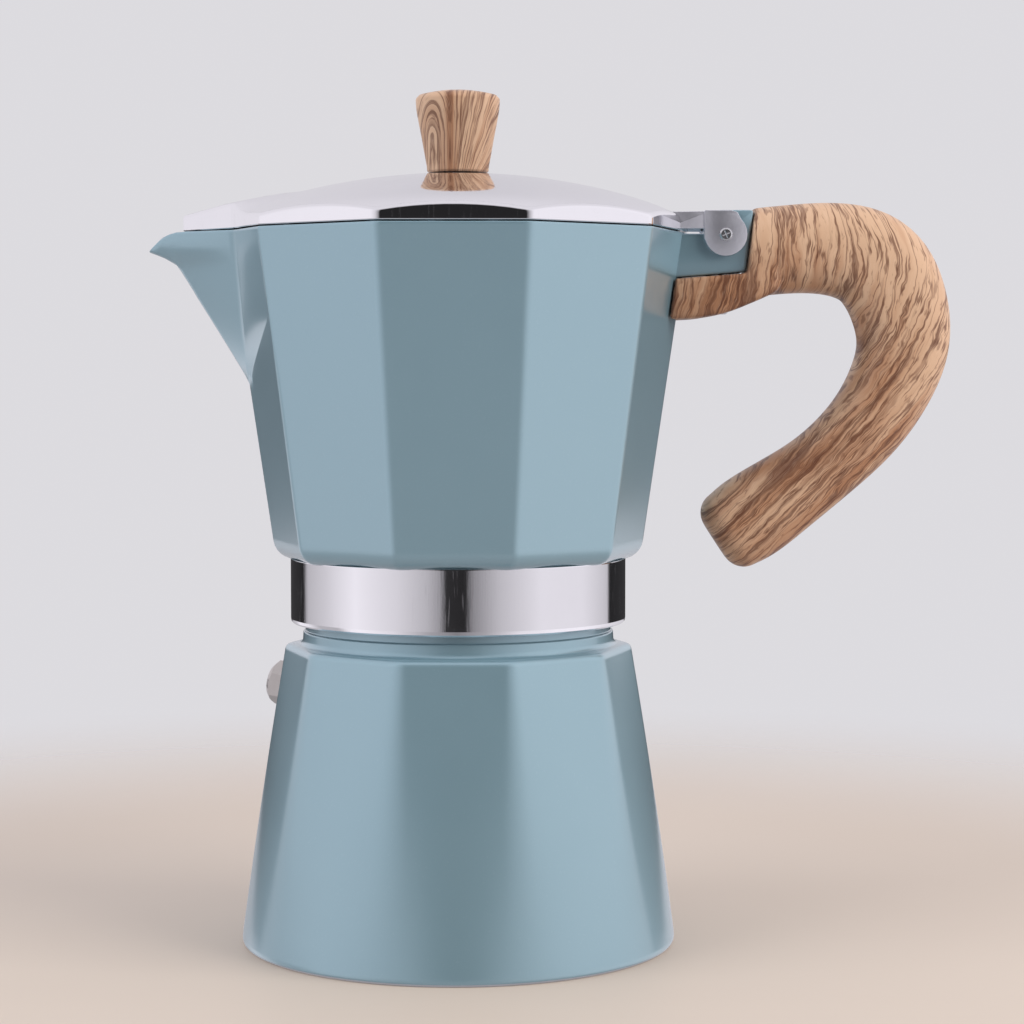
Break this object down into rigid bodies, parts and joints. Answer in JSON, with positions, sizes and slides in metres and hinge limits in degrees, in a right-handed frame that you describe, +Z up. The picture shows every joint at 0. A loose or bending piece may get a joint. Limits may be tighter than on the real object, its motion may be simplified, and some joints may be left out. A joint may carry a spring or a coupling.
{
  "type": "moka pot",
  "caption": "Ten-sided stovetop moka pot that unscrews at its collar, with hinged lid, V spout, safety valve and open wood-look handle.",
  "frame": {"origin": "centre of the boiler's flat underside, on the pot's upright axis, at the surface it stands on", "axes": "+Z up, +X towards the handle, -X towards the spout"},
  "size_m": [0.1835, 0.1004, 0.1946],
  "materials": {
    "painted_aluminium": "glossy grey-blue enamel paint on cast aluminium",
    "polished_aluminium": "mirror polished",
    "bare_aluminium": "satin, unpainted",
    "wood_print": "moulded heat-proof plastic with a printed brown wood grain",
    "nickelled_brass": "nickel plated, satin",
    "stainless_steel": "turned and tumbled",
    "silicone": "matt white silicone"
  },
  "bodies": {
    "boiler": {"boiler": "painted_aluminium", "valve_body": "nickelled_brass", "valve_washer": "silicone", "valve_nut": "nickelled_brass", "valve_retainer": "nickelled_brass", "valve_spring": "stainless_steel"},
    "valve_plunger": {"valve_plunger": "nickelled_brass"},
    "funnel": {"funnel": "bare_aluminium", "funnel_stem": "bare_aluminium", "funnel_disc": "bare_aluminium"},
    "gasket": {"gasket": "silicone"},
    "filter_plate": {"filter_plate": "bare_aluminium"},
    "upper": {"upper_chamber": "painted_aluminium", "riser_column": "bare_aluminium", "column_cap": "stainless_steel", "hinge_pin": "stainless_steel", "handle": "wood_print", "handle_washer": "stainless_steel", "handle_screw": "stainless_steel"},
    "lid": {"lid": "polished_aluminium", "knob": "wood_print", "knob_insert": "nickelled_brass", "knob_washer": "stainless_steel", "knob_screw": "stainless_steel"}
  },
  "joints": [
    {"name": "valve_pop", "type": "slide", "parent": "boiler", "child": "valve_plunger", "axis": [-0.9414, 0.3059, 0.1418], "range_m": [0, 0.0012], "stiffness_N_per_m": 500, "springref_m": -0.0032, "deforming": ["valve_spring"]},
    {"name": "funnel_lift", "type": "slide", "parent": "boiler", "child": "funnel", "axis": [0, 0, 1], "range_m": [0, 0.08]},
    {"name": "upper_lift", "type": "slide", "parent": "funnel", "child": "gasket", "axis": [0, 0, 1], "range_m": [0, 0.05]},
    {"name": "upper_rise", "type": "slide", "parent": "gasket", "child": "filter_plate", "axis": [0, 0, 1], "range_m": [0, 0.00781]},
    {"name": "upper_turn", "type": "hinge", "parent": "filter_plate", "child": "upper", "pos_m": [0, 0, 0.0876], "axis": [0, 0, 1], "range_deg": [0, 936]},
    {"name": "lid_hinge", "type": "hinge", "parent": "upper", "child": "lid", "pos_m": [0.0605, 0, 0.1616], "axis": [0, 1, 0], "range_deg": [0, 96]}
  ],
  "couplings": [
    {"joint": "upper_rise", "follows": "upper_turn", "m_per_rad": 0.00047746}
  ]
}
